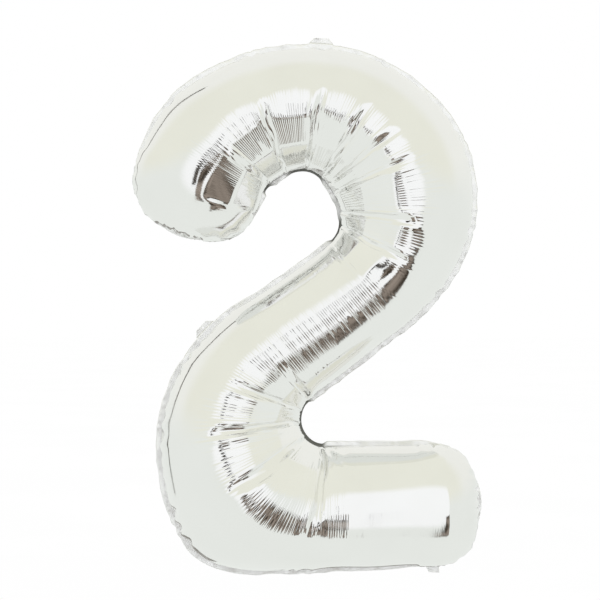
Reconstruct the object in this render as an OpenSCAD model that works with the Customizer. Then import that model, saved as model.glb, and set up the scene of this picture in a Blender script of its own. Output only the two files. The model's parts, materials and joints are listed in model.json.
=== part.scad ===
// Number balloon: a figure two made of two foil panels, welded together round their edge and
// filled with gas. The row frame has +Z up, the front towards -Y, and its origin at the eyelet
// of the top hanging tab. Inside the modules the figure stands near z = 0, with x = 0 near its
// middle, and place() then moves it to the row frame. All sizes are in millimetres.

/* [Bowl of the figure] */
// Radius of the spine, the middle line of the tube, round the bowl
bowl_r = 162; // [155:1:175]
// Sideways place of the bowl's centre
bowl_x = -13; // [-20:1:0]
// Height of the bowl's centre
bowl_z = 589; // [575:1:600]
// Where the hook's round end starts, in degrees round the bowl from +X
hook_angle = 160; // [140:1:175]

/* [Bend and base of the figure] */
// Radius of the spine round the lower left bend
bend_r = 131; // [125:1:140]
// Sideways place of the bend's centre
bend_x = 27; // [15:1:40]
// Height of the bend's centre
bend_z = 246; // [240:1:255]
// Sideways place where the base's round end starts
base_end_x = 177; // [150:1:200]

/* [Tube] */
// Usual distance from the spine to the outer edge of the weld
half_w = 98; // [92:1:104]
// Width of the welded rim
weld_w = 9; // [6:0.5:12]
// Thickness of each foil layer as drawn
foil_t = 0.8; // [0.6:0.1:1]
// Depth of the tube in front of or behind the weld, as a share of its half width
depth_share = 0.96; // [0.8:0.01:1]

/* [Hanging tabs] */
// Width of a tab at its fold
tab_w = 38; // [30:1:45]
// Width of a tab at its free edge
tab_tip_w = 22; // [15:1:30]
// Height of a tab above its fold
tab_h = 8; // [7:0.5:15]
// Radius of the punched eyelet
eyelet_r = 1.6; // [1:0.1:2]
// Height of the eyelet's centre above the fold
eyelet_h = 4.2; // [3.5:0.1:5]
// Place of the top tab along the spine, from 0 at the hook to 1 at the bowl's end
top_tab_at = 0.366; // [0.3:0.005:0.4]
// Place of the side tab along the spine, from 2 at the bend's start to 3 at its end
side_tab_at = 2.1; // [2.05:0.01:2.2]

/* [Tail and valve] */
// Angle of the tail from straight down, about the centre of the base's round end
tail_angle = 13.5; // [0:0.5:25]
// Width of the tail at its fold
tail_w = 20; // [18:1:24]
// Width of the tail at its mouth
tail_tip_w = 16; // [15:1:20]
// Length of the tail
tail_l = 12; // [8:1:30]
// Width of the two valve films
valve_w = 14; // [10:1:15]
// Length of the valve films inside the balloon
valve_l = 92; // [60:1:95]
// Thickness of each valve film as drawn
film_t = 0.3; // [0.2:0.05:0.3]

/* [Hidden] */

// How much wider than half_w the figure is on the left of its spine, at places along it.
// The left is the outside of the bowl and the inside of the bend.
left_grow = [[0, 17], [0.1, 17], [0.2, 8], [0.33, 6], [0.45, 14], [0.55, 22], [0.66, 30],
             [0.74, 28], [0.83, 20], [0.92, 8], [1, 2], [1.5, 0], [2, -2], [2.3, 0], [3, 0],
             [4, 2]];
// The same on its right, the inside of the bowl and the outside of the bend.
right_grow = [[0, 6], [0.16, 12], [0.4, 9], [0.6, 14], [0.78, 7], [0.9, -2], [1, -4], [1.5, -1],
              [2, 9], [2.12, 15], [2.28, 32], [2.46, 51], [2.62, 70], [2.7, 76], [2.78, 58],
              [2.88, 31], [3, 17], [3.5, 14], [4, 8]];

ring_sides = 16;      // faces across each panel
cap_rings = 8;        // rings over each round end
bowl_rings = 34;      // rings round the bowl
line_rings = 6;       // rings along each straight stretch
bend_rings = 38;      // rings round the bend
edge_points = 4;      // outline points for each ring of a panel
fold_gap = 0.3;       // clearance between a fold's bead and the rim
slot_play = 0.3;      // clearance round the valve in its slot through the rim
valve_gap = 0.1;      // rest gap between the two valve films
valve_root_gap = 1;   // distance of the front film's root from the rim

bowl_c = [bowl_x, bowl_z];
bend_c = [bend_x, bend_z];

// The straight stretch is the inner tangent of the bowl's circle and the bend's circle.
centres = bend_c - bowl_c;
slope = atan2(centres[1], centres[0]) - asin((bowl_r + bend_r) / norm(centres));
bowl_sweep = hook_angle - (slope + 90);
bend_start = slope - 90 + 360;
bend_sweep = 270 - bend_start;

function unit(angle) = [cos(angle), sin(angle)];
function between(a, b, share) = a + (b - a) * share;

bowl_end = bowl_c + bowl_r * unit(slope + 90);
bend_in = bend_c + bend_r * unit(bend_start);
bend_out = bend_c + bend_r * unit(270);
base_end = [base_end_x, bend_out[1]];

// Spine point and heading at u: 0 to 1 is the bowl, 1 to 2 the slope, 2 to 3 the bend and
// 3 to 4 the base.
function spine(u) =
    u < 1 ? bowl_c + bowl_r * unit(hook_angle - u * bowl_sweep)
    : u < 2 ? between(bowl_end, bend_in, u - 1)
    : u < 3 ? bend_c + bend_r * unit(bend_start + (u - 2) * bend_sweep)
    : between(bend_out, base_end, u - 3);
function heading(u) =
    u < 1 ? hook_angle - 90 - u * bowl_sweep
    : u < 2 ? slope
    : u < 3 ? slope + (u - 2) * bend_sweep
    : 0;
function left_normal(u) = unit(heading(u) + 90);

// Smooth curve through a table's rows of [u, value], flat at both ends.
function row_of(t, u, i = 0) = u <= t[i + 1][0] || i >= len(t) - 2 ? i : row_of(t, u, i + 1);
function tangent(t, i) = i == 0 || i == len(t) - 1 ? 0
    : (t[i + 1][1] - t[i - 1][1]) / (t[i + 1][0] - t[i - 1][0]);
function smooth(t, u) =
    let (i = row_of(t, u), h = t[i + 1][0] - t[i][0], f = (u - t[i][0]) / h)
    t[i][1] * (2 * f^3 - 3 * f^2 + 1) + tangent(t, i) * h * (f^3 - 2 * f^2 + f)
    + t[i + 1][1] * (3 * f^2 - 2 * f^3) + tangent(t, i + 1) * h * (f^3 - f^2);

function left_w(u) = half_w + smooth(left_grow, u);
function right_w(u) = half_w + smooth(right_grow, u);
function tube_c(u) = spine(u) + left_normal(u) * (left_w(u) - right_w(u)) / 2;
function tube_r(u) = (left_w(u) + right_w(u)) / 2;

// Outline, inset from the outer edge of the weld.
function left_edge(u, inset) = spine(u) + left_normal(u) * (left_w(u) - inset);
function right_edge(u, inset) = spine(u) - left_normal(u) * (right_w(u) - inset);
function end_arc(u, from, inset, steps) =
    [for (i = [1:steps - 1]) tube_c(u) + (tube_r(u) - inset) * unit(heading(u) + from - 180 * i / steps)];
function steps_of(n) = [for (i = [0:bowl_rings * n - 1]) i / (bowl_rings * n),
    for (i = [0:line_rings * n - 1]) 1 + i / (line_rings * n),
    for (i = [0:bend_rings * n - 1]) 2 + i / (bend_rings * n),
    for (i = [0:line_rings * n]) 3 + i / (line_rings * n)];
function backwards(list) = [for (i = [len(list) - 1:-1:0]) list[i]];
function outline(inset) =
    let (us = steps_of(edge_points), arc = cap_rings * edge_points * 2)
    concat([for (u = us) left_edge(u, inset)], end_arc(4, 90, inset, arc),
           [for (u = backwards(us)) right_edge(u, inset)], end_arc(0, -90, inset, arc));

// Frames that the tabs and the tail are drawn in. Each has its fold on the local X axis, and a
// tab's local +Z points out from the rim.
function angle_of(way) = atan2(way[1], way[0]);
function out_from(p, turn, distance) = p + distance * unit(turn + 90);
reach = 0.02;         // spine step that an edge's direction is measured over
fold_off = foil_t + fold_gap;
top_tab_turn = angle_of(left_edge(top_tab_at + reach, 0) - left_edge(top_tab_at - reach, 0));
top_tab_p = out_from(left_edge(top_tab_at, 0), top_tab_turn, fold_off);
side_tab_turn = angle_of(right_edge(side_tab_at - reach, 0) - right_edge(side_tab_at + reach, 0));
side_tab_p = out_from(right_edge(side_tab_at, 0), side_tab_turn, fold_off);
eyelet_p = out_from(top_tab_p, top_tab_turn, eyelet_h);
tail_c = tube_c(4);
tail_r = tube_r(4);

module place() { translate([-eyelet_p[0], 0, -eyelet_p[1]]) children(); }
module at_fold(p, turn) { translate([p[0], 0, p[1]]) rotate([0, -turn, 0]) children(); }
// Local -Z points out through the rim, and z = 0 is the centre of the base's round end.
module at_valve() {
    translate([tail_c[0], 0, tail_c[1]]) rotate([0, -tail_angle, 0]) children();
}
// A flat shape drawn in x and z, thick from y0 to y1.
module slab(y0, y1) { translate([0, y1, 0]) rotate([90, 0, 0]) linear_extrude(y1 - y0) children(); }

// One panel: a thin shell over the weld line, closed round both ends of the figure.
// Each station is [centre, heading, radius share along the end, radius share across].
stations = concat(
    [for (i = [cap_rings - 1:-1:1]) let (a = 90 * i / cap_rings) [0, -sin(a), cos(a)]],
    [for (u = steps_of(1)) [u, 0, 1]],
    [for (i = [1:cap_rings - 1]) let (a = 90 * i / cap_rings) [4, sin(a), cos(a)]]);
function shell_point(s, r_in, j) =
    let (u = s[0], r = tube_r(u) - weld_w - r_in, a = 180 * j / ring_sides,
         flat = tube_c(u) + unit(heading(u)) * s[1] * r + left_normal(u) * s[2] * r * cos(a))
    [flat[0], -foil_t - s[2] * r * sin(a) * depth_share, flat[1]];
function shell_tip(u, way, r_in) =
    let (flat = tube_c(u) + unit(heading(u)) * way * (tube_r(u) - weld_w - r_in)) [flat[0], -foil_t, flat[1]];
module panel() {
    across = ring_sides + 1;
    count = len(stations);
    inner = count * across;
    tips = 2 * inner;
    points = concat(
        [for (s = stations, j = [0:ring_sides]) shell_point(s, 0, j)],
        [for (s = stations, j = [0:ring_sides]) shell_point(s, foil_t, j)],
        [shell_tip(0, -1, 0), shell_tip(0, -1, foil_t), shell_tip(4, 1, 0), shell_tip(4, 1, foil_t)]);
    last = (count - 1) * across;
    skin = [for (i = [0:count - 2], j = [0:ring_sides - 1]) let (a = i * across + j, b = a + across)
            each [[a, b, a + 1], [b, b + 1, a + 1]]];
    lining = [for (t = skin) [t[0] + inner, t[2] + inner, t[1] + inner]];
    rims = [for (i = [0:count - 2]) let (a = i * across, b = a + across, c = a + ring_sides, d = c + across)
            each [[a, a + inner, b], [b, a + inner, b + inner], [c, d, c + inner], [d, d + inner, c + inner]]];
    hook = concat([for (j = [0:ring_sides - 1]) each [[j, j + 1, tips], [j + inner + 1, j + inner, tips + 1]]],
        [[0, tips, inner], [tips, tips + 1, inner],
         [ring_sides, ring_sides + inner, tips], [tips, ring_sides + inner, tips + 1]]);
    foot = concat([for (j = [0:ring_sides - 1]) let (a = last + j)
                   each [[a + 1, a, tips + 2], [a + inner, a + inner + 1, tips + 3]]],
        [[last, last + inner, tips + 2], [tips + 2, last + inner, tips + 3],
         [last + ring_sides, tips + 2, last + ring_sides + inner],
         [tips + 2, tips + 3, last + ring_sides + inner]]);
    polyhedron(points, concat(skin, lining, rims, hook, foot), convexity = 12);
}

module front_panel() { color("silver") place() panel(); }
module back_panel() { color("silver") place() mirror([0, 1, 0]) panel(); }

// The rim where the two foils are fused, with the slot that the valve passes through.
module weld_seam() {
    color("gainsboro") place() difference() {
        slab(-foil_t, foil_t) difference() {
            polygon(outline(0));
            polygon(outline(weld_w + foil_t));
        }
        at_valve() translate([-valve_w / 2 - slot_play, -film_t, -tail_r - 1])
            cube([valve_w + 2 * slot_play, 2 * film_t, weld_w + foil_t + 2]);
    }
}

// The valve films lie face to face. The back one runs out through the rim to the tail, and the
// front one starts just inside the rim, where it bends when a filling straw lifts it.
module valve_film(y0, from) {
    at_valve() translate([-valve_w / 2, y0, from])
        cube([valve_w, film_t, -tail_r + weld_w + valve_l - from]);
}
module valve_back_film() { color("whitesmoke") place() valve_film(0, -tail_r); }
module valve_front_film() {
    color("whitesmoke") place()
        valve_film(-film_t - valve_gap, -tail_r + weld_w + foil_t + valve_root_gap);
}

// One layer of the tail, in front of the seam plane, with half of the filling channel and half
// of the bead at its fold. The bead's upper part is left out where bead_top is false.
module tail_layer(bead_top) {
    at_valve() translate([0, 0, -tail_r - fold_off]) difference() {
        union() {
            slab(-foil_t, 0) polygon([[-tail_w / 2, 0], [-tail_tip_w / 2, -tail_l],
                                      [tail_tip_w / 2, -tail_l], [tail_w / 2, 0]]);
            translate([-tail_w / 2, 0, 0]) rotate([0, 90, 0]) cylinder(h = tail_w, r = foil_t, $fn = 32);
        }
        translate([-tail_w, 0, -tail_l]) cube([2 * tail_w, 2 * foil_t, 2 * tail_l]);
        translate([-valve_w / 2, -film_t, -2 * tail_l]) cube([valve_w, 2 * film_t, 4 * tail_l]);
        if (!bead_top) translate([-tail_w, -2 * foil_t, 0]) cube([2 * tail_w, 4 * foil_t, tail_l]);
    }
}
// The front layer lifts forward off the back one, so that a straw goes in between them.
module tail_front_foil() { color("silver") place() tail_layer(false); }
module tail_back_foil() { color("silver") place() mirror([0, 1, 0]) tail_layer(true); }

// A hanging tab: both foils fused, punched with an eyelet, with a rounded bead at its fold.
module hang_tab() {
    difference() {
        union() {
            slab(-foil_t, foil_t) polygon([[-tab_w / 2, 0], [-tab_tip_w / 2, tab_h],
                                           [tab_tip_w / 2, tab_h], [tab_w / 2, 0]]);
            translate([-tab_w / 2, 0, 0]) rotate([0, 90, 0]) cylinder(h = tab_w, r = foil_t, $fn = 32);
        }
        translate([0, 0, eyelet_h]) rotate([90, 0, 0])
            cylinder(h = 4 * foil_t, r = eyelet_r, center = true, $fn = 48);
    }
}
module hang_tab_top() { color("silver") place() at_fold(top_tab_p, top_tab_turn) hang_tab(); }
module hang_tab_side() { color("silver") place() at_fold(side_tab_p, side_tab_turn) hang_tab(); }

front_panel();
back_panel();
weld_seam();
valve_back_film();
valve_front_film();
tail_front_foil();
tail_back_foil();
hang_tab_top();
hang_tab_side();
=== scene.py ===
"""The looks of the foil number balloon. Two panels of film that can't stretch are inflated by a small
simulation on a grid, which puckers them round the bowl and the bend as gas does. The welded rim, the
tabs, the tail and the valve are then built round them. All lengths are in metres, in the CAD model's
frame."""

import json

import bpy
import numpy as np
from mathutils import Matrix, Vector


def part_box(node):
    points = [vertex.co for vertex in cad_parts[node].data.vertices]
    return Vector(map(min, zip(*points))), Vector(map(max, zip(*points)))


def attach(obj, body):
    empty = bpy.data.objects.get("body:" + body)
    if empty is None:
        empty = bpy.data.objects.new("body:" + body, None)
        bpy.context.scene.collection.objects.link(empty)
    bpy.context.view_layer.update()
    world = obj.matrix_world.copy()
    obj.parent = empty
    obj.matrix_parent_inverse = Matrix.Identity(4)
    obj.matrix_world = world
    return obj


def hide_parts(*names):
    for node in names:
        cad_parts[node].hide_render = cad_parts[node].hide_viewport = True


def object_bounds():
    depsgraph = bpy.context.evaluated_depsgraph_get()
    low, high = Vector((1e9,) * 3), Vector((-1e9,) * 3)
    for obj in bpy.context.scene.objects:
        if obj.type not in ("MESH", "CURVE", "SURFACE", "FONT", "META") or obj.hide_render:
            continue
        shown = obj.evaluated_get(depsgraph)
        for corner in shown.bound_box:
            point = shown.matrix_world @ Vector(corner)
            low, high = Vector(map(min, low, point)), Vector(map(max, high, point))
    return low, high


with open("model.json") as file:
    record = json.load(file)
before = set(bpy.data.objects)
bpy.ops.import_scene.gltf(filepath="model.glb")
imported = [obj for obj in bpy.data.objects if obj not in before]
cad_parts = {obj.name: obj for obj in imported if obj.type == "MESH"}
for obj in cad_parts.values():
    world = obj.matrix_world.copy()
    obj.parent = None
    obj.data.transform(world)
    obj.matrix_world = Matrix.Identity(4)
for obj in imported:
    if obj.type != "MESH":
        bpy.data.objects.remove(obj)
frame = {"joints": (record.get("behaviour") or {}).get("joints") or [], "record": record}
cad_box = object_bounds()

# ---------------------------------------------------------------- the figure, as the CAD model draws it

BOWL_R = 0.162           # radius of the spine round the bowl
BOWL_C = np.array([-0.013, 0.589])   # the bowl's centre, across and up
HOOK_ANGLE = 160.0       # where the spine starts, in degrees round the bowl
BEND_R = 0.131           # radius of the spine round the bend
BEND_C = np.array([0.027, 0.246])
BASE_END_X = 0.177       # where the base's straight part ends
HALF_W = 0.098           # half of the tube's width, with its weld
WELD_W = 0.009
DEPTH_SHARE = 0.96       # the tube's depth as a share of its width inside the weld
MM = np.array([1, 0.001])   # turns a table's second column from mm into metres
# How much wider than HALF_W the figure is on each side of its spine, at places along it. From 0 to 1 is
# the bowl, from 1 to 2 the slope, from 2 to 3 the bend and from 3 to 4 the base.
LEFT_GROW = MM * [
    [0, 17], [0.1, 17], [0.2, 8], [0.33, 6], [0.45, 14], [0.55, 22], [0.66, 30], [0.74, 28],
    [0.83, 20], [0.92, 8], [1, 2], [1.5, 0], [2, -2], [2.3, 0], [3, 0], [4, 2],
]
RIGHT_GROW = MM * [
    [0, 6], [0.16, 12], [0.4, 9], [0.6, 14], [0.78, 7], [0.9, -2], [1, -4], [1.5, -1], [2, 9],
    [2.12, 15], [2.28, 32], [2.46, 51], [2.62, 70], [2.7, 76], [2.78, 58], [2.88, 31], [3, 17],
    [3.5, 14], [4, 8],
]


def unit(degrees):
    """The way at that angle, as across and up."""
    angle = np.radians(degrees)
    return np.stack([np.cos(angle), np.sin(angle)], -1)


CENTRES = BEND_C - BOWL_C
TANGENT = np.arcsin((BOWL_R + BEND_R) / np.hypot(*CENTRES))
SLOPE = np.degrees(np.arctan2(CENTRES[1], CENTRES[0]) - TANGENT)
BOWL_SWEEP = HOOK_ANGLE - (SLOPE + 90)
BEND_START = SLOPE + 270
BEND_SWEEP = 270 - BEND_START
BOWL_END = BOWL_C + BOWL_R * unit(SLOPE + 90)
BEND_IN = BEND_C + BEND_R * unit(BEND_START)
BEND_OUT = BEND_C + BEND_R * unit(270)
BASE_END = np.array([BASE_END_X, BEND_OUT[1]])
SECTIONS = [
    np.radians(BOWL_SWEEP) * BOWL_R,
    np.hypot(*(BEND_IN - BOWL_END)),
    np.radians(BEND_SWEEP) * BEND_R,
    BASE_END_X - BEND_C[0],
]
ALONG = np.concatenate([[0], np.cumsum(SECTIONS)])


def smooth_curve(table, u):
    """Smooth curve through a table's rows of place and value, flat at both ends."""
    x, y = table.T
    tangent = np.zeros(len(x))
    tangent[1:-1] = (y[2:] - y[:-2]) / (x[2:] - x[:-2])
    i = np.clip(np.searchsorted(x, u, side="left") - 1, 0, len(x) - 2)
    h = x[i + 1] - x[i]
    f = (u - x[i]) / h
    return (
        y[i] * (2 * f**3 - 3 * f**2 + 1)
        + tangent[i] * h * (f**3 - 2 * f**2 + f)
        + y[i + 1] * (3 * f**2 - 2 * f**3)
        + tangent[i + 1] * h * (f**3 - f**2)
    )


def spine(u):
    """Points of the tube's middle line."""
    v = u[..., None]
    places = [
        BOWL_C + BOWL_R * unit(HOOK_ANGLE - u * BOWL_SWEEP),
        BOWL_END + (BEND_IN - BOWL_END) * (v - 1),
        BEND_C + BEND_R * unit(BEND_START + (u - 2) * BEND_SWEEP),
        BEND_OUT + (BASE_END - BEND_OUT) * (v - 3),
    ]
    return np.select([v < 1, v < 2, v < 3], places[:3], places[3])


def heading(u):
    """The tube's own direction, in degrees."""
    turns = [HOOK_ANGLE - 90 - u * BOWL_SWEEP, SLOPE + 0 * u, SLOPE + (u - 2) * BEND_SWEEP]
    return np.select([u < 1, u < 2, u < 3], turns, 0)


def tube(u):
    """The tube's centre, its half width inside the weld, its left and its forward direction."""
    left_w = HALF_W + smooth_curve(LEFT_GROW, u)
    right_w = HALF_W + smooth_curve(RIGHT_GROW, u)
    left = unit(heading(u) + 90)
    centre = spine(u) + left * ((left_w - right_w) / 2)[..., None]
    return centre, (left_w + right_w) / 2 - WELD_W, left, unit(heading(u))


def round_end(u, way, steps, x):
    """Half of a squashed ball over one end of the tube, from its first row out to its tip. A square grid
    is mapped onto the half disc, so that its rows carry on the tube's."""
    centre, radius, left, forward = (a[0] for a in tube(np.array([float(u)])))
    q = (np.arange(1, steps + 1) / steps)[:, None]
    p = (1 - 2 * x / np.pi)[None]
    across = p * np.sqrt(1 - q * q / 2)
    out = q * np.sqrt(1 - p * p / 2)
    rho = np.minimum(np.hypot(across, out), 1)
    reach = radius * np.sin(rho * np.pi / 2) / np.maximum(rho, 1e-9)
    flat = centre + left * (reach * across)[..., None] + way * forward * (reach * out)[..., None]
    return np.stack([flat[..., 0], -DEPTH_SHARE * radius * np.cos(rho * np.pi / 2), flat[..., 1]])


def smooth_tube(u, x, end_rows):
    """The front panel without any pucker, as points[axis, row, column]."""
    centre, radius, left, _ = tube(u)
    flat = centre[:, None] + left[:, None] * (radius[:, None] * np.cos(x))[..., None]
    body = np.stack([flat[..., 0], -DEPTH_SHARE * radius[:, None] * np.sin(x), flat[..., 1]])
    return np.concatenate([round_end(0, -1, end_rows, x)[:, ::-1], body, round_end(4, 1, end_rows, x)], 1)


def smoothstep(t):
    """A smooth rise from 0 to 1."""
    t = np.clip(t, 0, 1)
    return t * t * (3 - 2 * t)


def between(u, start, end, rise, fall):
    """A smooth bump of height 1 from start to end, with a rise and a fall of those widths."""
    return smoothstep(np.minimum((u - start) / rise, (end - u) / fall))


# ---------------------------------------------------------------- inflating the film

# Where the film creases from the inner seam towards the middle: degrees round the bowl and the bend, how
# far the crease leans, and its share of the film to be taken up.
BOWL_CREASES = [
    (141, 0, 1), (111, 0.01, 1), (81, 0, 1), (56, -0.01, 1), (38, 0, 0.8), (22, 0, 1), (-7, 0, 1.1),
    (-28, 0.01, 1), (-50, 0, 1),
]
BEND_CREASES = [(129, 0, 1), (157, 0, 0.6), (185, 0, 0.7), (216, 0, 1.2), (261, 0, 1.2)]
CREASES = [((HOOK_ANGLE - a) / BOWL_SWEEP, lean, share / 9) for a, lean, share in BOWL_CREASES]
CREASES += [(2 + (a - BEND_START) / BEND_SWEEP, lean, share / 5) for a, lean, share in BEND_CREASES]
CREASE_WIDTH = 0.008     # in steps of u
FACET_SHARE = 0.3        # share of the spare film that stays spread over the facets
TUCK_DEPTH = 0.006       # how far the creases are drawn in
GATHERED = 0.85          # share of the spare film that the creases and facets take, beside fine wrinkles
LATITUDE = 0.7246        # film from the seam to a point, over the arc there, when it has rounded out
BOWL_SPARE = (-0.05, 1.08, 0.15, 0.2)   # start, end, rise and fall of the spare film along the bowl
BEND_SPARE = (1.85, 3.1, 0.25, 0.25)
BOWL_INNER_R = 0.065     # radius of the inner seam
BEND_INNER_R = 0.035
BEND_HALF_W = 0.105      # the most of the bend's half width that its spare film is worked out with
LEAST_SPARE = 0.03       # a crease is drawn in only where there is this much spare film
UNEVEN = 0.0004          # unevenness that the film starts with
END_SPARE = 0.85         # share of a flat half disc's spare film that is left on the round ends
SEAM_DEPTH = 0.98        # share of its depth that the seam keeps in each pass
SEAM_HOLD = 0.5          # pull of the seam towards its place in the figure
PRESS_KEEP = 0.8         # share of a shortened link that springs back in each pass
FEED_SHARE = 0.6         # share of the steps in which the spare film is let out
CARRY_ON = 0.9           # share of its last move that a point repeats
PASSES = 12              # passes over the links in each step


class Film:
    """Both panels on one grid, as points[axis, panel, row, column], with the film's own lengths between
    neighbours. Rows run along the tube and over its round ends, columns from the left seam to the right."""

    def __init__(self, pitch, columns, end_rows):
        self.x = np.pi * np.arange(columns + 1) / columns
        steps = [max(2, round(length / pitch)) for length in SECTIONS]
        u = np.concatenate([k + np.arange(n) / n for k, n in enumerate(steps)] + [[4.0]])
        front = smooth_tube(u, self.x, end_rows)
        ends = np.arange(1, end_rows + 1) / end_rows
        self.u = np.concatenate([-ends[::-1], u, 4 + ends])
        self.home = np.stack([front, front * [[[1]], [[-1]], [[1]]]], 1)
        self.points = self.home.copy()
        self.measure()
        self.plan_tucks()

    def spare(self, u):
        """How much longer the film is along the tube than the smooth tube there, as a share."""
        x = self.x[None]
        half_w = tube(np.clip(u, 0, 4))[1][:, None]
        u = u[:, None]

        def round_bend(inner_r, half_w, from_inside):
            own = inner_r + half_w * LATITUDE * from_inside
            return np.maximum(own / (inner_r + half_w * (1 - np.cos(from_inside))), 1) - 1

        bowl = between(u, *BOWL_SPARE) * round_bend(BOWL_INNER_R, half_w, np.pi - x)
        bend = between(u, *BEND_SPARE) * round_bend(BEND_INNER_R, np.minimum(half_w, BEND_HALF_W), x)
        return GATHERED * (bowl + bend)

    def gather(self, u):
        """How the spare film is shared out: about 1 on average, more in the creases, less between them."""
        width = np.maximum(CREASE_WIDTH, 0.75 * np.gradient(u))[:, None]
        total = np.zeros((len(u), len(self.x)))
        for at, lean, share in CREASES:
            off = u[:, None] + lean * (self.x - np.pi / 2) - at
            total += share * np.exp(-((off / width) ** 2)) / (width * np.sqrt(np.pi))
        return FACET_SHARE + (1 - FACET_SHARE) * total

    def measure(self):
        """Lengths on the smooth tube, and how much longer the film's own are."""
        front = self.home[:, :1]
        self.step_u = np.diff(front, axis=2)
        self.step_x = np.diff(front, axis=3)
        self.home_u = np.linalg.norm(self.step_u, axis=0)
        self.home_x = np.linalg.norm(self.step_x, axis=0)
        mid = (self.u[1:] + self.u[:-1]) / 2
        longer_u = 1 + self.spare(mid) * self.gather(mid)
        # The round ends were cut as half discs, which are wider than the ball they close over.
        out = np.maximum(np.where(self.u < 0, -self.u, self.u - 4), 0)[:, None]
        p = (1 - 2 * self.x / np.pi)[None]
        disc_r = tube(np.clip(self.u, 0, 4))[1][:, None] * np.pi / 2
        disc = np.stack([p * np.sqrt(1 - out * out / 2), out * np.sqrt(1 - p * p / 2)]) * disc_r
        disc_u = np.linalg.norm(np.diff(disc, axis=1), axis=0) / self.home_u[0]
        disc_x = np.linalg.norm(np.diff(disc, axis=2), axis=0) / self.home_x[0]
        in_end = ((mid < 0) | (mid > 4))[:, None]
        on_end = ((self.u < 0) | (self.u > 4))[:, None]
        self.longer_u = np.where(in_end, np.maximum(1 + END_SPARE * (disc_u - 1), 1), longer_u)[None]
        self.longer_x = np.where(on_end, np.maximum(1 + END_SPARE * (disc_x - 1), 1), 1.0)[None]

    def set_spare(self, share):
        """Gives the film that share of its spare length."""
        u = self.home_u * (1 + share * (self.longer_u - 1))
        x = self.home_x * (1 + share * (self.longer_x - 1))
        dots = (self.step_u[..., :-1] * self.step_x[:, :, :-1]).sum(0)
        cosine = dots / (self.home_u[..., :-1] * self.home_x[:, :-1])
        a = (u[..., :-1] + u[..., 1:]) / 2
        b = (x[:, :-1] + x[:, 1:]) / 2
        self.rest_u = u
        self.rest_x = x
        self.rest_down = np.sqrt(a * a + b * b + 2 * a * b * cosine)
        self.rest_up = np.sqrt(a * a + b * b - 2 * a * b * cosine)
        self.rest_2u = u[:, 1:] + u[:, :-1]
        self.rest_2x = x[..., 1:] + x[..., :-1]

    def area(self):
        """Area of one panel's flat film."""
        return float((self.rest_u[0, :, :-1] * self.rest_x[0, :-1]).sum())

    def normals(self, points):
        """Outward normals, as long as the area that each point holds."""
        n = np.cross(np.gradient(points, axis=2), np.gradient(points, axis=3), axis=0)
        way = np.sign(n[1, 0, n.shape[2] // 2, n.shape[3] // 2])
        return n * np.array([-way, way])[:, None, None]

    def plan_tucks(self):
        """The rows of points that the creases run through, and where they are drawn in to."""
        self.out = self.normals(self.home)
        self.out /= np.linalg.norm(self.out, axis=0) + 1e-12
        near = np.zeros((len(self.u), len(self.x)), bool)
        for at, lean, _ in CREASES:
            off = self.u[:, None] + lean * (self.x - np.pi / 2) - at
            near |= np.abs(off) < 0.5 * np.gradient(self.u)[:, None]
        spare = self.spare(self.u)
        self.tucked = near & (spare > LEAST_SPARE)
        self.tuck_to = self.home - self.out * TUCK_DEPTH * np.minimum(spare / 0.2, 1.2) ** 0.7

    def relax(self, bend):
        """Pulls every link of the grid towards its own length once. Links that share a point take turns."""
        points = self.points

        def pull(a, b, rest, tight, slack):
            d = points[b] - points[a]
            length = np.sqrt((d * d).sum(0)) + 1e-12
            off = length - rest
            d *= np.where(off > 0, tight, slack) * off * (0.5 / length)
            points[a] += d
            points[b] -= d

        rows, columns = points.shape[2:]
        for s in range(2):
            n = (rows - s) // 2
            lower, upper = slice(s, s + 2 * n - 1, 2), slice(s + 1, s + 2 * n, 2)
            pull(np.s_[:, :, lower], np.s_[:, :, upper], self.rest_u[:, s::2][:, :n], 1, PRESS_KEEP)
            down, up = (rest[:, s::2][:, :n] for rest in (self.rest_down, self.rest_up))
            pull(np.s_[:, :, lower, :-1], np.s_[:, :, upper, 1:], down, 1, PRESS_KEEP)
            pull(np.s_[:, :, upper, :-1], np.s_[:, :, lower, 1:], up, 1, PRESS_KEEP)
            n = (columns - s) // 2
            left, right = slice(s, s + 2 * n - 1, 2), slice(s + 1, s + 2 * n, 2)
            pull(np.s_[..., left], np.s_[..., right], self.rest_x[..., s::2][..., :n], 1, PRESS_KEEP)
        for s in range(4):
            n = (rows + 1 - s) // 4
            lower, upper = slice(s, s + 4 * n - 3, 4), slice(s + 2, s + 4 * n - 1, 4)
            pull(np.s_[:, :, lower], np.s_[:, :, upper], self.rest_2u[:, s::4][:, :n], 0, bend)
            n = (columns + 1 - s) // 4
            left, right = slice(s, s + 4 * n - 3, 4), slice(s + 2, s + 4 * n - 1, 4)
            pull(np.s_[..., left], np.s_[..., right], self.rest_2x[..., s::4][..., :n], 0, bend)

    def tuck(self, pull):
        """Draws the creases in, by that share of the way."""
        off = ((self.points - self.tuck_to) * self.out).sum(0)
        self.points -= self.out * np.maximum(off, 0) * self.tucked * pull

    def join_seam(self):
        """Keeps the two panels' edges together, near their place in the figure."""
        for edge in (np.s_[:, :, 0], np.s_[:, :, -1], np.s_[..., 0], np.s_[..., -1]):
            joined = self.points[edge].mean(1, keepdims=True)
            home = self.home[edge]
            joined = joined + SEAM_HOLD * (home - joined) * [[[1]], [[0]], [[1]]]
            self.points[edge] = joined * [[[1]], [[SEAM_DEPTH]], [[1]]]

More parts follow.
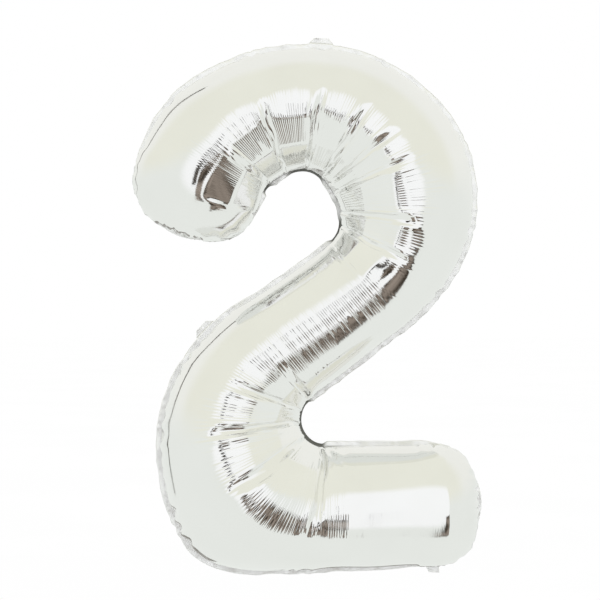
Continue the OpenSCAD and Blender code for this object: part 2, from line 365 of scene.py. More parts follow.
    def blow(self, steps, push, bend, spare_from, tuck):
        """Pushes the film out and lets its own lengths hold it back, step by step. bend is how stiffly it
        bends, spare_from is the share of its spare length that it starts with, and tuck is the pull on the
        creases."""
        before = self.points.copy()
        usual = None
        for step in range(steps):
            done = min(1, (step + 1) / (FEED_SHARE * steps))
            self.set_spare(spare_from + (1 - spare_from) * done)
            n = self.normals(self.points)
            if usual is None:
                usual = np.linalg.norm(n, axis=0)
                usual = np.maximum(usual, 0.3 * np.median(usual))
            moved = CARRY_ON * (self.points - before)
            before = self.points.copy()
            self.points = self.points + moved + push * n / usual
            for _ in range(PASSES):
                self.relax(bend)
                if tuck:
                    self.tuck(tuck)
                self.join_seam()

    def start_creases(self):
        """Draws the creases in a little, with a slight unevenness, for the film to pucker from."""
        gathered = np.minimum((self.gather(self.u) - FACET_SHARE) / 3, 1)
        depth = -TUCK_DEPTH * gathered * np.clip(self.spare(self.u) / 0.1, 0, 1)
        uneven = UNEVEN * np.random.default_rng(7).standard_normal(depth.shape)
        self.points += self.out * (depth + uneven)

    def take_from(self, coarse):
        """Moves this finer grid as a coarser one has moved."""
        rows = np.interp(self.u, coarse.u, np.arange(len(coarse.u)))
        columns = np.interp(self.x, coarse.x, np.arange(len(coarse.x)))
        moved = coarse.points - coarse.home
        self.points = self.home + at_columns(at_rows(moved, rows, 1), columns, 1)


def at_rows(grid, where, order=3):
    """grid[..., row, column] at fractional row numbers, by straight lines or by cubics."""
    last = grid.shape[-2] - 1
    i = np.clip(where.astype(int), 0, last - 1)
    f = (where - i)[:, None]
    a, b, c, d = (np.take(grid, np.clip(i + k, 0, last), -2) for k in (-1, 0, 1, 2))
    if order == 1:
        return b + f * (c - b)
    return b + 0.5 * f * (c - a + f * (2 * a - 5 * b + 4 * c - d + f * (3 * (b - c) + d - a)))


def at_columns(grid, where, order=3):
    """grid[..., row, column] at fractional column numbers."""
    return at_rows(grid.swapaxes(-1, -2), where, order).swapaxes(-1, -2)


def inflate():
    """The film under pressure, found on three grids, each finer than the last."""
    coarse = Film(pitch=0.009, columns=28, end_rows=14)
    coarse.start_creases()
    coarse.blow(steps=80, push=0.0008, bend=0.15, spare_from=0, tuck=0.5)
    middle = Film(pitch=0.006, columns=48, end_rows=22)
    middle.take_from(coarse)
    middle.blow(steps=70, push=0.0003, bend=0.05, spare_from=0.9, tuck=0.3)
    fine = Film(pitch=0.004, columns=76, end_rows=36)
    fine.take_from(middle)
    fine.blow(steps=30, push=0.00012, bend=0.03, spare_from=0.95, tuck=0.2)
    fine.blow(steps=15, push=0.00012, bend=0.03, spare_from=1, tuck=0)
    return fine


# ---------------------------------------------------------------- fine wrinkles

TOOTH = 0.0039           # pitch of the fine wrinkles along the tube
ROWS_PER_TOOTH = 4
COLUMNS = 68             # of the final grid, over half of the tube
END_ROWS = 40            # of the final grid, on each round end
TOOTH_DEPTH = 0.0005
TOOTH_END = 0.12         # length over which a tooth fades out at each end, in radians round the tube
COMB_NEAR = 1.25         # a tooth starts no further than this from the inner seam, in radians
COMB_FAR = 1.65          # and ends no nearer than this
BEND_DEEPER = 0.3        # how much deeper the teeth are on the bend, where they are wider
PLAIN_PITCH = 0.003      # rows where there are no fine wrinkles
COMB_END = 3.25          # the fine wrinkles end here along the tube
GATHER_REACH = 0.42      # reach of the gathers from the inner seam, in radians
NOTCH_REACH = 0.4        # how much further they reach beside the notch
NOTCH_SPAN = (2.96, 3.2, 0.1, 0.1)   # start, end, rise and fall of that along the tube
CAP_PLEATS = 23          # radial pleats round each end of the tube
CAP_PLEAT_DEPTH = 0.0008
BASE_LEVEL_AT = 3.4      # the base keeps the depth that it has here, almost to its end
BASE_END_SWELL = 1.22    # the most that its end is swollen for that
BASE_SWELL_STOP = 4.85   # where the swelling has faded out
BASE_SWELL_FADE = 0.6    # and the length over which it fades
BOWL_PANES = (0.42, 0.92, 1.4)   # the edges of the two rows of flat panes, in radians from the inner seam
BEND_PANES = (0.42, 0.85, 1.18)
PANE_EASE = 0.08         # share of a pane's length over which it turns flat
PANE_FLAT = 0.85         # share of its swell that a pane loses
HOOK_START = (-0.25, 0, 0)   # where the first pane starts, written as a crease
PANE_MARGIN = 0.008      # half of the crease beside a pane, in steps of u


def along(u):
    """Distance along the spine, from the start of the bowl."""
    return np.interp(u, np.arange(5), ALONG)


def film_run(u):
    """Distance along the flat film, with the round ends."""
    return along(u) + np.where(u < 0, u, np.maximum(u - 4, 0)) * HALF_W * np.pi / 2


def fine_rows():
    """Places of the final rows: four to a wrinkle, fewer on the base and the round ends."""
    comb_end = along(COMB_END)
    combed = np.arange(0, comb_end, TOOTH / ROWS_PER_TOOTH)
    plain = np.arange(comb_end, ALONG[-1], PLAIN_PITCH)
    body = np.interp(np.concatenate([combed, plain, ALONG[-1:]]), ALONG, np.arange(5))
    ends = np.arange(1, END_ROWS + 1) / END_ROWS
    return np.concatenate([-ends[::-1], body, 4 + ends])


def wander(rng, count, every):
    """A smooth random line of that many values, with a knot at each `every` of them."""
    knots = rng.random(count // every + 3)
    return at_rows(knots[:, None], np.arange(count) / every)[:, 0]


def fill_base_end(points, u):
    """Swells the base's end, which stays nearly as deep as the base is and then closes steeply."""
    depth = np.abs(points[1, 0, :, points.shape[3] // 2])
    level = np.interp(BASE_LEVEL_AT, u, depth)
    fuller = np.clip(level / np.maximum(depth, level / 2), 1, BASE_END_SWELL) - 1
    fuller *= (u > BASE_LEVEL_AT) * smoothstep((BASE_SWELL_STOP - u) / BASE_SWELL_FADE)
    points[1] *= 1 + fuller[:, None]


def along_rows(points, u, line):
    """Points on a line that crosses column j of the grid at line[j] along the tube."""
    place = np.interp(line, u, np.arange(len(u)))
    row = np.minimum(place.astype(int), len(u) - 2)
    column = np.arange(len(line))
    low, high = points[:, :, row, column], points[:, :, row + 1, column]
    return (low + (place - row) * (high - low))[:, :, None]


def flatten_panes(points, u, x):
    """Draws the film tight between neighbouring creases, which it then spans in two rows of panes."""
    for on_bowl, pane_edges in ((True, BOWL_PANES), (False, BEND_PANES)):
        from_inside = np.pi - x if on_bowl else x
        across = between(from_inside, start=0, end=pane_edges[-1] + 0.1, rise=0.3, fall=0.15)
        creases = [HOOK_START] * on_bowl + [crease for crease in CREASES if (crease[0] < 1.5) == on_bowl]
        for (at, lean, _), (next_at, next_lean, _) in zip(creases[:-1], creases[1:]):
            start = at - lean * (x - np.pi / 2) + PANE_MARGIN
            end = next_at - next_lean * (x - np.pi / 2) - PANE_MARGIN
            run = film_run(end) - film_run(start)
            f = np.clip((film_run(u)[:, None] - film_run(start)) / run, 0, 1)
            low, high = along_rows(points, u, start), along_rows(points, u, end)
            points += PANE_FLAT * ((f > 0) & (f < 1)) * across * (low + f * (high - low) - points)
            middle = between(f, 0, 1, PANE_EASE, PANE_EASE)
            for edges in zip(pane_edges[:-1], pane_edges[1:]):
                a, b = sorted(np.abs(from_inside - edge).argmin() for edge in edges)
                g = np.arange(b - a + 1) / (b - a)
                chord = points[..., a:a + 1] + g * (points[..., b:b + 1] - points[..., a:a + 1])
                points[..., a:b + 1] += PANE_FLAT * middle[:, a:b + 1] * (chord - points[..., a:b + 1])


def wrinkles(u, x, rng):
    """Depth of the fine wrinkles across the tube: a comb of teeth, each with its own length and depth,
    over the slack middle of the tube, gathers along the inner seams, and pleats on the round ends."""
    s = along(u)
    tooth = np.clip((s / TOOTH).astype(int), 0, int(s.max() / TOOTH))
    teeth = tooth.max() + 1
    wave = np.sin(np.pi * (s / TOOTH - tooth))[:, None] ** 2
    from_inside = np.where((u < 1.5)[:, None], np.pi - x, x)

    def uneven(start, drift, every, scatter):
        """A value for each tooth, which drifts along the tube and scatters from tooth to tooth."""
        return start + drift * wander(rng, teeth, every) + scatter * rng.random(teeth)

    near_end = uneven(COMB_NEAR, -0.45, 9, -0.3)[tooth][:, None]
    far_end = uneven(COMB_FAR, 0.35, 11, 0.35)[tooth][:, None]
    tooth_u = np.interp((np.arange(teeth) + 0.5) * TOOTH, ALONG, np.arange(5))
    patches = smoothstep(2.6 * wander(rng, teeth, 8) - 0.15)
    strength = np.maximum(patches, 0.8 * between(tooth_u, 1.85, 3.2, 0.1, 0.1))
    strength *= 0.35 + 0.65 * rng.random(teeth)
    comb = between(from_inside, near_end, far_end, TOOTH_END, TOOTH_END) * strength[tooth][:, None]
    reach = GATHER_REACH + NOTCH_REACH * between(u, *NOTCH_SPAN)[:, None]
    gathers = between(from_inside, start=0, end=reach, rise=0.08, fall=0.3)
    gathers *= (0.3 + 0.7 * rng.random(teeth))[tooth][:, None]
    in_bends = smoothstep((1.15 - u) / 0.2) + smoothstep((u - 1.8) / 0.2)
    depth = between(u, start=0, end=COMB_END, rise=0.05, fall=0.15)
    depth *= 1 + BEND_DEEPER * between(u, 1.95, 2.95, 0.25, 0.25)
    fine = TOOTH_DEPTH * wave * depth[:, None] * (comb + 1.3 * gathers * in_bends[:, None])
    out = np.maximum(-u, u - 4)[:, None]
    pleat = np.sin(CAP_PLEATS * x + 2 * wander(rng, len(x), 5)) * wander(rng, len(x), 4)
    return fine + CAP_PLEAT_DEPTH * pleat * between(out, start=0.45, end=1, rise=0.3, fall=0.12)


def finish_film(film):
    """The inflated film on the final grid, with its fine wrinkles, and each point's place on the cut."""
    u = fine_rows()
    x = np.pi * np.arange(COLUMNS + 1) / COLUMNS
    rows = np.interp(u, film.u, np.arange(len(film.u)))
    columns = np.interp(x, film.x, np.arange(len(film.x)))
    points = at_columns(at_rows(film.points, rows), columns)
    fill_base_end(points, u)
    flatten_panes(points, u, x)
    out = film.normals(points)
    out /= np.linalg.norm(out, axis=0) + 1e-12
    rng = np.random.default_rng(21)
    for side in range(2):
        points[:, side] -= out[:, side] * wrinkles(u, x, rng)
    cut = np.stack(np.broadcast_arrays(film_run(u)[:, None], x * HALF_W, 0 * x))
    return points, cut


# ---------------------------------------------------------------- meshes

def add_mesh(name, points, faces, smooth=True, cut=None, painted_seam_shade=None):
    """A new object from points[n, 3] and faces[m, 4]. cut is each point's place on the flat film, and the
    last argument says how much painted shade darkens the weld there."""
    mesh = bpy.data.meshes.new(name)
    mesh.vertices.add(len(points))
    mesh.vertices.foreach_set("co", np.asarray(points, np.float32).ravel())
    mesh.loops.add(faces.size)
    mesh.loops.foreach_set("vertex_index", faces.astype(np.int32).ravel())
    mesh.polygons.add(len(faces))
    mesh.polygons.foreach_set("loop_start", np.arange(0, faces.size, faces.shape[1], dtype=np.int32))
    mesh.polygons.foreach_set("use_smooth", np.full(len(faces), smooth))
    if cut is not None:
        place = mesh.attributes.new("cut_place", "FLOAT_VECTOR", "POINT")
        place.data.foreach_set("vector", np.asarray(cut, np.float32).ravel())
    if painted_seam_shade is not None:
        shade_layer = mesh.attributes.new("painted_seam_shade", "FLOAT", "POINT")
        shade_layer.data.foreach_set("value", np.asarray(painted_seam_shade, np.float32).ravel())
    mesh.update(calc_edges=True)
    mesh.validate()
    obj = bpy.data.objects.new(name, mesh)
    bpy.context.scene.collection.objects.link(obj)
    return obj


def grid_faces(rows, columns, flip=False, closed=False):
    """Faces of a grid of points, row by row. closed joins its last row to its first."""
    index = np.arange(rows * columns).reshape(rows, columns)
    if closed:
        index = np.concatenate([index, index[:1]])
    faces = np.stack([index[:-1, :-1], index[1:, :-1], index[1:, 1:], index[:-1, 1:]], -1).reshape(-1, 4)
    return faces[:, ::-1] if flip else faces


def as_list(grid):
    """points[axis, row, column] as points[n, 3]."""
    return grid.reshape(3, -1).T


def flat_patch(name, fold, inward, half_w, length, depth, thickness, rows=24, columns=12):
    """A four-sided film that starts at a fold. half_w, length and depth are functions of v, from 0 at the
    fold to 1 at the free edge, and t, from -1 to 1 along the fold."""
    point, side, out = fold
    v, t = np.meshgrid(np.linspace(0, 1, rows + 1), np.linspace(-1, 1, columns + 1), indexing="ij")
    way = -out if inward else out
    grid = point[:, None, None] + side[:, None, None] * t * half_w(v) + way[:, None, None] * length(t) * v
    grid[1] += depth(v, t)
    obj = add_mesh(name, as_list(grid), grid_faces(rows + 1, columns + 1))
    return thicken(obj, thickness)


def thicken(obj, thickness):
    """Gives an object that thickness, half to each side."""
    solid = obj.modifiers.new("film", "SOLIDIFY")
    solid.thickness = thickness
    solid.offset = 0
    return obj


# ---------------------------------------------------------------- panels

CUT_FILL = 0.6           # share of its rectangle that a panel's cut fills


def cut_size(film):
    """Width and length of the rectangle that one panel is cut from, and the panel's own flat area."""
    low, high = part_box("weld_seam")
    area = film.area()
    spare = np.sqrt(area / ((high.x - low.x) * (high.z - low.z) * CUT_FILL))
    return (high.x - low.x) * spare, (high.z - low.z) * spare, area


def add_panels(film, points, cut):
    """The front and the back film, out of points[axis, panel, row, column]."""
    width, length, area = cut_size(film)
    for side, name in enumerate(("front", "back")):
        grid = points[:, side]
        faces = grid_faces(*grid.shape[1:], flip=side == 0)
        panel = add_mesh(name + "_foil", as_list(grid), faces, cut=as_list(cut))
        panel.data.materials.append(PANEL_FOIL)
        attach(panel, "envelope")
        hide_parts(name + "_panel")


# ---------------------------------------------------------------- rim, tabs and tail

def joint_place(name):
    """A hinge's point and its direction, from the frame."""
    joint = next(j for j in frame["joints"] if j["name"] == name)
    return np.array(joint["pos_m"], float), np.array(joint["axis"], float)


def mount_place(name):
    """A mount's point, from the frame."""
    mount = next(m for m in frame["record"]["mounts"] if m["name"] == name)
    return np.array(mount["pos_m"], float)


def fold_at(joint, towards):
    """A fold as its middle, the direction along it, and the direction out from the rim."""
    point, side = joint_place(joint)
    out = mount_place(towards) - point
    out -= side * (out @ side)
    return point, side, out / np.linalg.norm(out)


TAB_W = 0.038            # at its fold
TAB_TIP_W = 0.022
TAB_H = 0.008
TAB_CURL = 0.0005        # how far its free edge curls forward
TAB_WAVE = 0.0007        # and how far it waves about that
EYELET_R = 0.0016
TAIL_W = 0.020           # at its fold
TAIL_TIP_W = 0.016
TAIL_L = 0.012           # along its longer side
TAIL_GAPE = 0.0012       # how far each foil bows out at the mouth
VALVE_W = 0.014
VALVE_L = 0.092          # from the weld's inner edge
VALVE_FRONT_L = 0.0902
VALVE_WAVE = 0.0012
RIM_TO_FOLD = 0.0011
TAIL_GAP = 0.0004        # clear of the rim's edge, for the tail to fold beside it
WELD_FILM = 0.0003       # thickness of the two fused films
VALVE_FILM = 0.0001
RIM_STEP = 0.0012        # between points along the rim
RIM_STEPS_OUT = 6        # points across it
RIM_OVERLAP = 0.06       # share of its width that lies between the panels
RUFFLE = 0.0014          # how far the rim waves forward and back
SCALLOP = 0.0018         # how far its edge is cut in
TURN_STEPS = 12          # half of the steps over which its turn is measured
INWARD_TURN = 8          # turn inwards, in radians a metre, from which it is crushed and darkened with painted shade
FOLDED_BACK = 0.003      # how far it is folded back where it is crushed
FOLD_EASE = 0.001        # length over which the rim runs onto a fold
TOP_FOLD = fold_at("top_tab_fold", "top_eyelet")
SIDE_FOLD = fold_at("side_tab_fold", "side_eyelet")
TAIL_FOLD = fold_at("tail_fold", "fill_mouth")


def seam_loop(points, spacing):
    """The panels' joined edge as evenly spaced points, once round the figure with the outside on the
    left."""
    edge = points.mean(1)
    parts = [edge[:, :-1, 0], edge[:, -1, :-1], edge[:, :0:-1, -1], edge[:, 0, :0:-1], edge[:, :1, 0]]
    loop = np.concatenate(parts, 1)
    run = np.concatenate([[0], np.cumsum(np.linalg.norm(np.diff(loop, axis=1), axis=0))])
    where = np.linspace(0, run[-1], round(run[-1] / spacing), endpoint=False)
    return np.stack([np.interp(where, run, line) for line in loop])


def round_loop(loop, reach):
    """The loop averaged over that many neighbours on each side."""
    return sum(np.roll(loop, k, -1) for k in range(-reach, reach + 1)) / (2 * reach + 1)


def add_rim(points):
    """The welded rim: a ruffled strip from the panels' edge outwards, flat where a tab or the tail folds."""
    loop = seam_loop(points, RIM_STEP)
    count = loop.shape[1]
    rng = np.random.default_rng(3)

    def ripple(every):
        """A smooth random wave along the rim, which fades out where the loop closes."""
        line = wander(rng, count + every, every)[:count] - 0.5
        fade = smoothstep(np.minimum(np.arange(count), count - np.arange(count)) / 20)
        return 2 * line * fade

    ahead = round_loop(np.roll(loop, -1, 1) - np.roll(loop, 1, 1), 5)
    out = np.stack([-ahead[2], 0 * ahead[0], ahead[0]])
    out /= np.linalg.norm(out, axis=0)
    turn = np.cross(np.roll(out, -TURN_STEPS, 1), np.roll(out, TURN_STEPS, 1), axis=0)[1]
    turn /= 2 * TURN_STEPS * RIM_STEP
    inward = smoothstep((round_loop(turn, 8) - INWARD_TURN) / INWARD_TURN)
    near_inward = round_loop(inward, 45)
    wave = RUFFLE * (ripple(16) + 0.45 * ripple(5)) * (1 - inward)
    width = (WELD_W - SCALLOP * np.abs(ripple(22))) * (1 - 0.5 * inward)
    share = np.linspace(-RIM_OVERLAP, 1, RIM_STEPS_OUT + 1)[:, None]
    grid = loop[:, None] + out[:, None] * width * share
    grid[1] += (wave + FOLDED_BACK * inward) * np.maximum(share, 0) ** 1.5
    # Painted shade: the rim's colour is darkened where its outline turns inwards, and on its inner rows near
    # there, standing in for the dark crevice beside the film.
    painted_seam_shade = np.maximum(inward, near_inward * smoothstep((0.3 - share) / 0.2))
    folds = ((TOP_FOLD, TAB_W / 2), (SIDE_FOLD, TAB_W / 2), (TAIL_FOLD, TAIL_W / 2))
    for (point, side, _), half_w in folds:
        away = grid[:, -1] - point[:, None]
        place = side @ away
        near = smoothstep((half_w + FOLD_EASE - np.abs(place)) / FOLD_EASE)
        near = near * (np.linalg.norm(away, axis=0) < 1.5 * half_w)
        fold = point[:, None] + side[:, None] * place
        grid += (fold - grid[:, -1])[:, None] * near * np.maximum(share, 0) ** 2
    faces = grid_faces(count, RIM_STEPS_OUT + 1, closed=True)
    rim = add_mesh("weld_rim", as_list(grid.swapaxes(1, 2)), faces, painted_seam_shade=painted_seam_shade.T)
    thicken(rim, WELD_FILM)
    rim.data.materials.append(WELDED_FOIL)
    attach(rim, "envelope")
    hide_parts("weld_seam")


def add_tab(name, fold, eyelet, body, node):
    """A hanging tab: rings of points from its eyelet out to its outline, a little curled at its free edge."""
    point, side, out = fold
    up = (eyelet - point) @ out
    corners = np.array([[-TAB_W / 2, 0], [TAB_W / 2, 0], [TAB_TIP_W / 2, TAB_H], [-TAB_TIP_W / 2, TAB_H]])
    turn = np.linspace(0, 360, 97)[:-1]
    start = corners - [0, up]
    ways = np.concatenate([unit(turn), start / np.linalg.norm(start, axis=1)[:, None]])
    ways = ways[np.argsort(np.arctan2(ways[:, 1], ways[:, 0]))]
    along_edge = np.roll(start, -1, 0) - start
    normal = np.stack([along_edge[:, 1], -along_edge[:, 0]], 1)
    facing = np.maximum(ways @ normal.T, 1e-9)
    far = ((start * normal).sum(1) / facing).min(1)
    share = np.linspace(0, 1, 9)[:, None]
    flat = (EYELET_R + (far - EYELET_R) * share)[..., None] * ways + [0, up]
    across, height = flat[..., 0], flat[..., 1]
    curl = (height / TAB_H) ** 2 * (TAB_WAVE * np.sin(across / TAB_W * 9) - TAB_CURL)
    grid = point[:, None, None] + side[:, None, None] * across + out[:, None, None] * height
    grid[1] += curl
    faces = grid_faces(len(ways), len(share), closed=True)
    tab = thicken(add_mesh(name, as_list(grid.swapaxes(1, 2)), faces), WELD_FILM)
    tab.data.materials.append(WELDED_FOIL)
    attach(tab, body)
    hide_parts(node)


def add_tail():
    """The tail's two foils, cut slanted and bowed apart at the mouth, where a straw goes in."""
    def half_w(v):
        return (TAIL_W + (TAIL_TIP_W - TAIL_W) * v) / 2

    def length(t):
        return TAIL_L * (0.8 + 0.2 * t)

    point, side, out = TAIL_FOLD
    root = point + TAIL_GAP * out
    for name, body, way in (("tail_front", "tail_lip", -1), ("tail_back", "tail", 1)):
        def depth(v, t):
            return way * (WELD_FILM / 2 + TAIL_GAPE * v * (1 - t * t)) + 0.0008 * v * v * np.sin(3 * t)

        layer = flat_patch(name, (root, side, out), False, half_w, length, depth, WELD_FILM / 2)
        layer.data.materials.append(WELDED_FOIL)
        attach(layer, body)
        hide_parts(name + "_foil")


def add_valve():
    """The valve's two clear films, face to face inside the balloon, with a slight wave along them."""
    point, side, out = TAIL_FOLD
    root = joint_place("valve_lift")[0]
    films = [
        ("valve_back", "envelope", point - out * RIM_TO_FOLD, WELD_W + VALVE_L, VALVE_FILM),
        ("valve_front", "valve_flap", root, VALVE_FRONT_L, 0),
    ]
    for name, body, start, full, forward in films:
        def length(t):
            return full + 0 * t

        def half_w(v):
            return VALVE_W / 2 + 0 * v

        def depth(v, t):
            left = (1 - v) * full
            return forward + VALVE_WAVE * smoothstep(v * 3) * np.sin(left * 90) * (1 + 0.2 * t)

        strip = flat_patch(name, (start, side, out), True, half_w, length, depth, VALVE_FILM, 60, 8)
        strip.data.materials.append(VALVE_MATERIAL)
        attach(strip, body)
        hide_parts(name + "_film")


# ---------------------------------------------------------------- materials

MOST_NOISE = (0.3, 0.7)   # nearly all of a noise's values lie between these
# Painted shade: the dark colour laid on the rim where its outline turns inwards.
PAINTED_SEAM_SHADE_TONE = (0.15, 0.15, 0.14)


def node(tree, kind, inputs=None, **settings):
    """A new shader node. An input is given a value, or is linked to another node's output."""
    made = tree.nodes.new("ShaderNode" + kind)
    for name, value in settings.items():
        setattr(made, name, value)
    for name, value in (inputs or {}).items():
        if isinstance(value, bpy.types.NodeSocket):
            tree.links.new(value, made.inputs[name])
        else:
            made.inputs[name].default_value = value
    return made


def new_material(name, **sockets):
    """A new material's node tree and its Principled shader, with those socket values."""
    material = bpy.data.materials.new(name)
    material.use_nodes = True
    shader = material.node_tree.nodes["Principled BSDF"]
    for socket, value in sockets.items():
        shader.inputs[socket.replace("_", " ")].default_value = value
    return material, material.node_tree, shader


def blend_tones(tree, share, low, high):
    """A mix of two colours, of which the first may be another node's output."""
    mixed = node(tree, "Mix", {"Factor": share}, data_type="RGBA")
    first, second = (socket for socket in mixed.inputs if socket.type == "RGBA")
    if isinstance(low, bpy.types.NodeSocket):
        tree.links.new(low, first)
    else:
        first.default_value = (*low, 1)
    second.default_value = (*high, 1)
    return next(socket for socket in mixed.outputs if socket.type == "RGBA")


def remap(tree, value, from_low, from_high, to_low, to_high):
    """A value moved smoothly from one range into another."""
    ranges = {"From Min": from_low, "From Max": from_high, "To Min": to_low, "To Max": to_high}
    moved = node(tree, "MapRange", {"Value": value, **ranges}, interpolation_type="SMOOTHSTEP")
    return moved.outputs["Result"]


def noise(tree, place, scale, detail):
    return node(tree, "TexNoise", {"Vector": place, "Scale": scale, "Detail": detail}).outputs["Fac"]


def bump(tree, height, strength, distance, **under):
    """A bump's normal. Normal= is the one that it lies on, where there is one."""
    inputs = {"Height": height, "Strength": strength, "Distance": distance, **under}
    return node(tree, "Bump", inputs).outputs[0]


def feed(tree, shader, **sources):
    """Links the shader's sockets to other nodes' outputs."""
    for socket, source in sources.items():
        tree.links.new(source, shader.inputs[socket.replace("_", " ")])


def panel_material():
    """Mirror-like film: a faint mottle from handling, streaks across the tube, and fine crackle."""
    material, tree, shader = new_material("panel_foil", Metallic=1.0)
    place = node(tree, "Attribute", attribute_name="cut_place").outputs["Vector"]
    mottle = noise(tree, place, scale=16.0, detail=4.0)
    stretched = node(tree, "Mapping", {"Vector": place, "Scale": (420.0, 40.0, 1.0)}).outputs["Vector"]
    streaks = bump(tree, noise(tree, stretched, scale=1.0, detail=2.0), strength=0.1, distance=0.0005)
    cells = node(tree, "TexVoronoi", {"Vector": place, "Scale": 190.0}, feature="SMOOTH_F1")
    feed(
        tree, shader,
        Base_Color=blend_tones(tree, mottle, (0.87, 0.87, 0.855), (0.93, 0.93, 0.92)),
        Roughness=remap(tree, mottle, *MOST_NOISE, 0.045, 0.12),
        Normal=bump(tree, cells.outputs["Distance"], strength=0.06, distance=0.0003, Normal=streaks),
    )
    return material


def welded_material():
    """The fused films of the rim, tabs and tail: duller, embossed by the sealing bar and crimped, with
    painted shade darkening the rim where its outline turns inwards."""
    material, tree, shader = new_material("welded_foil", Metallic=1.0)
    place = node(tree, "TexCoord").outputs["Object"]
    mottle = noise(tree, place, scale=60.0, detail=4.0)
    # painted shade, carried by the rim's mesh, blends its colour towards the dark tone
    painted_seam_shade = node(tree, "Attribute", attribute_name="painted_seam_shade").outputs["Fac"]
    film_tone = blend_tones(tree, mottle, (0.93, 0.93, 0.92), (0.99, 0.99, 0.98))
    knurl = node(tree, "TexVoronoi", {"Vector": place, "Scale": 900.0, "Randomness": 0.35})
    embossed = bump(tree, knurl.outputs["Distance"], strength=0.07, distance=0.0002)
    crimps = noise(tree, place, scale=230.0, detail=2.0)
    feed(
        tree, shader,
        Base_Color=blend_tones(tree, painted_seam_shade, film_tone, PAINTED_SEAM_SHADE_TONE),
        Roughness=remap(tree, mottle, *MOST_NOISE, 0.3, 0.45),
        Normal=bump(tree, crimps, strength=0.16, distance=0.0005, Normal=embossed),
    )
    return material


def valve_material():
    """Clear polyethylene film with the faint haze and creases of blown film."""
    material, tree, shader = new_material("valve_film", IOR=1.5, Transmission_Weight=0.7)
    haze = noise(tree, node(tree, "TexCoord").outputs["Object"], scale=120.0, detail=3.0)
    feed(
        tree, shader,
        Base_Color=blend_tones(tree, haze, (0.86, 0.89, 0.9), (0.96, 0.97, 0.97)),
        Roughness=remap(tree, haze, *MOST_NOISE, 0.12, 0.35),
        Normal=bump(tree, haze, strength=0.3, distance=0.0004),
    )
    return material


# ---------------------------------------------------------------- studio

CARD_DISTANCE = 6.0
CAMERA_DISTANCE = 2.9
FLOOR_REACH = 20.0
FLOOR_GAP = 0.03         # from the balloon's lowest point down to the floor
WALL_TONE = (0.87, 0.875, 0.785)
BACK_TONE = (0.92, 0.925, 0.885)
FLOOR_TONE = (0.86, 0.885, 0.855)
LAMP_TONE = (1.01, 1.02, 1.03)
LOW, HIGH = (np.array(corner) for corner in cad_box)
MIDDLE = (LOW + HIGH) / 2
VIEW_SIDE = 1.1174 * (HIGH[2] - LOW[2])   # the square view's side at the seam
AIM = MIDDLE + VIEW_SIDE * np.array([-0.0134, 0, 0.0106])   # the view's middle


def direction(azimuth, elevation):
    """A way out from the balloon. Azimuth 0 is where the camera stands, and 90 is along +X."""
    a, e = np.radians([azimuth, elevation])
    return np.array([np.sin(a) * np.cos(e), -np.cos(a) * np.cos(e), np.sin(e)])


def glow(name, low, high, scale):
    """A paint for the studio's surfaces: an even glow between two tones, in a broad mottle."""
    material = bpy.data.materials.new(name)
    material.use_nodes = True
    tree = material.node_tree
    tree.nodes.clear()
    place = node(tree, "TexCoord").outputs["Object"]
    share = remap(tree, noise(tree, place, scale, detail=3.0), 0.4, 0.6, 0, 1)
    light = node(tree, "Emission", {"Color": blend_tones(tree, share, low, high)})
    out = node(tree, "OutputMaterial")
    tree.links.new(light.outputs[0], out.inputs["Surface"])
    return material


def add_card(name, azimuth, elevation, width, height, paint, turn=0):
    """A staged card that faces the balloon and shows only in its reflections. Its width and height are
    the angles that it covers, and turn leans it sideways, all in degrees."""
    w, h = CARD_DISTANCE * np.tan(np.radians([width, height]) / 2)
    facing = direction(azimuth, elevation)
    right = np.cross([0, 0, 1], facing)
    right /= np.linalg.norm(right)
    up = np.cross(facing, right)
    c, s = unit(turn)
    right, up = c * right + s * up, c * up - s * right
    centre = MIDDLE + facing * CARD_DISTANCE
    corners = [centre + right * w * i + up * h * j for i, j in ((-1, -1), (1, -1), (1, 1), (-1, 1))]
    card = add_mesh(name, np.array(corners), np.array([[0, 1, 2, 3]]), smooth=False)
    card.data.materials.append(paint)
    card.visible_camera = card.visible_diffuse = card.visible_shadow = False


def add_cards():
    """What is darker than the room's walls: a desk and two stands by the camera, more behind the balloon,
    and the edge of a curtain on the left."""
    dark = glow("dark_room", (0.03, 0.026, 0.022), (0.1, 0.085, 0.07), 1.5)
    brown = glow("brown_room", (0.05, 0.04, 0.03), (0.32, 0.27, 0.23), 0.7)
    grey = glow("grey_room", (0.22, 0.21, 0.19), (0.4, 0.39, 0.37), 0.7)
    add_card("desk", azimuth=25, elevation=-33, width=24, height=33, paint=brown, turn=10)
    add_card("stand", azimuth=-5, elevation=-22, width=12, height=28, paint=brown)
    add_card("lamp_stand", azimuth=-16, elevation=-6, width=5, height=26, paint=dark)
    add_card("back_desk", azimuth=200, elevation=-25, width=14, height=24, paint=grey, turn=20)
    add_card("back_stand", azimuth=176, elevation=-22, width=8, height=20, paint=grey)
    add_card("curtain_edge", azimuth=-120, elevation=18, width=2.5, height=74, paint=dark)


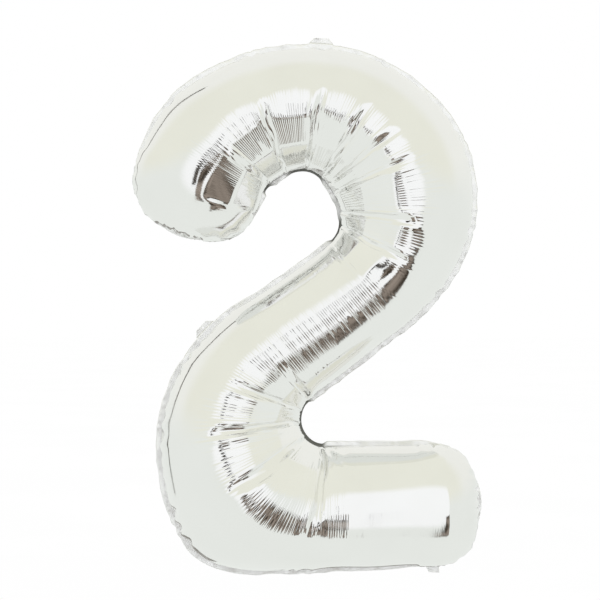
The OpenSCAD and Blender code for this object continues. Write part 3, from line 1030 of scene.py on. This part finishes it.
def add_world():
    """Soft studio light by direction: white behind the camera, cream to the sides and above, and the
    bluish grey of the floor below. Where nothing is, the camera sees plain white."""
    world = bpy.data.worlds.new("studio")
    bpy.context.scene.world = world
    world.use_nodes = True
    tree = world.node_tree
    background = tree.nodes["Background"]
    ways = node(tree, "TexCoord").outputs["Generated"]
    parts = node(tree, "SeparateXYZ", {"Vector": ways}).outputs
    light = blend_tones(tree, remap(tree, parts["Y"], -0.1, 0.3, 0, 1), WALL_TONE, BACK_TONE)
    light = blend_tones(tree, remap(tree, parts["Z"], -0.05, 0.35, 1, 0), light, FLOOR_TONE)
    light = blend_tones(tree, remap(tree, parts["Y"], -0.9, -0.8, 1, 0), light, LAMP_TONE)
    light = blend_tones(tree, node(tree, "LightPath").outputs["Is Camera Ray"], light, (1, 1, 1))
    tree.links.new(light, background.inputs["Color"])


def add_floor():
    """A plain white floor, just below the balloon."""
    corners = np.array([[-1, -1, 0], [1, -1, 0], [1, 1, 0], [-1, 1, 0]]) * FLOOR_REACH
    corners[:, 2] = LOW[2] - FLOOR_GAP
    floor = add_mesh("floor", corners, np.array([[0, 1, 2, 3]]), smooth=False)
    floor.data.materials.append(glow("white_floor", (1, 1, 1), (0.995, 0.995, 0.995), 2.0))
    floor.visible_glossy = False


def add_camera():
    """The camera, straight in front of the balloon."""
    data = bpy.data.cameras.new("camera")
    data.lens = data.sensor_width * CAMERA_DISTANCE / VIEW_SIDE
    camera = bpy.data.objects.new("camera", data)
    camera.location = AIM + CAMERA_DISTANCE * direction(0, 0)
    camera.rotation_euler = (np.pi / 2, 0, 0)
    bpy.context.scene.collection.objects.link(camera)
    bpy.context.scene.camera = camera


# ---------------------------------------------------------------- the whole balloon

PANEL_FOIL = panel_material()
WELDED_FOIL = welded_material()
VALVE_MATERIAL = valve_material()

film = inflate()
points, cut = finish_film(film)
panel_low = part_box("front_panel")[0]
home_low = film.home[:, 0].min((1, 2))
points += np.array([panel_low.x - home_low[0], 0, panel_low.z - home_low[2]])[:, None, None, None]

add_panels(film, points, cut)
add_rim(points)
add_tab("top_tab", TOP_FOLD, mount_place("top_eyelet"), "hanger", "hang_tab_top")
add_tab("side_tab", SIDE_FOLD, mount_place("side_eyelet"), "side_tab", "hang_tab_side")
add_tail()
add_valve()
add_world()
add_cards()
add_floor()
add_camera()
bpy.context.scene.view_settings.view_transform = "Standard"
